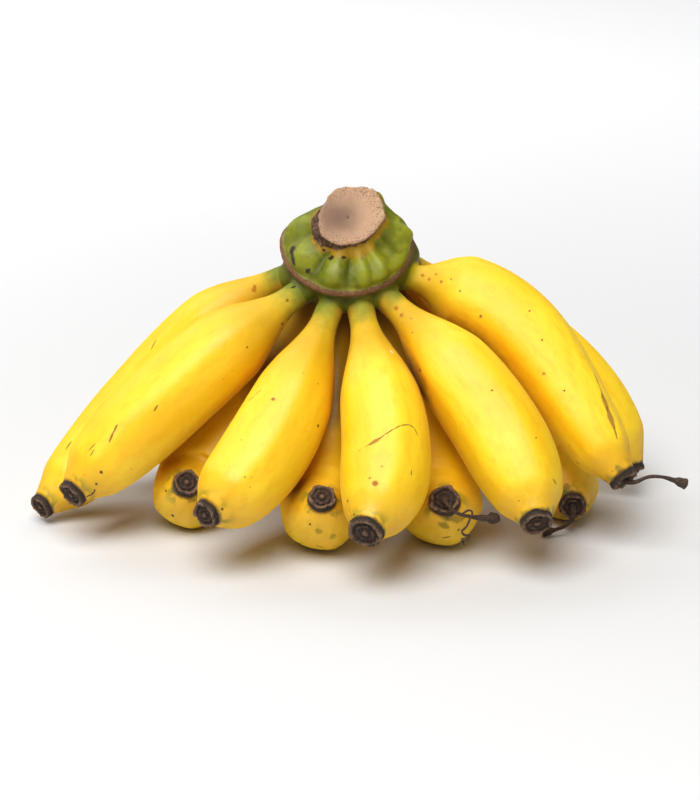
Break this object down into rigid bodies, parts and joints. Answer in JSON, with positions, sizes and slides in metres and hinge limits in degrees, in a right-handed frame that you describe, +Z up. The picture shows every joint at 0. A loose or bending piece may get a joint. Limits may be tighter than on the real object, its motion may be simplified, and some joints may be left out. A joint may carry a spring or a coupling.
{
  "type": "hand of bananas",
  "caption": "Hand of small ripe bananas: curved yellow fingers in two rows fan out and down from one green crown and stand on the lower row's bellies.",
  "frame": {"origin": "on the table, below the middle of the whole hand's bounding box", "axes": "+X runs along the hand's width to the right of the picture's viewer, -Y points to that viewer, +Z is up"},
  "size_m": [0.2448, 0.1426, 0.1244],
  "materials": {
    "crown": "green, slightly fibrous, with a brown ring scar and a dry tan cut face",
    "skin": "ripe yellow skin with a soft waxy sheen, green towards the stalk and the tip",
    "dried_flower": "dry, crusty, dark brown"
  },
  "bodies": {
    "root": {"crown": "crown", "finger_01": "skin", "finger_02": "skin", "finger_03": "skin", "finger_04": "skin", "finger_05": "skin", "finger_06": "skin", "finger_07": "skin", "finger_08": "skin", "finger_09": "skin", "finger_10": "skin", "finger_11": "skin", "finger_12": "skin", "finger_13": "skin", "blossom_end_01": "dried_flower", "blossom_end_02": "dried_flower", "blossom_end_03": "dried_flower", "blossom_end_04": "dried_flower", "blossom_end_05": "dried_flower", "blossom_end_06": "dried_flower", "blossom_end_07": "dried_flower", "blossom_end_08": "dried_flower", "blossom_end_09": "dried_flower", "blossom_end_10": "dried_flower", "blossom_end_11": "dried_flower", "blossom_end_12": "dried_flower", "blossom_end_13": "dried_flower"}
  },
  "joints": []
}
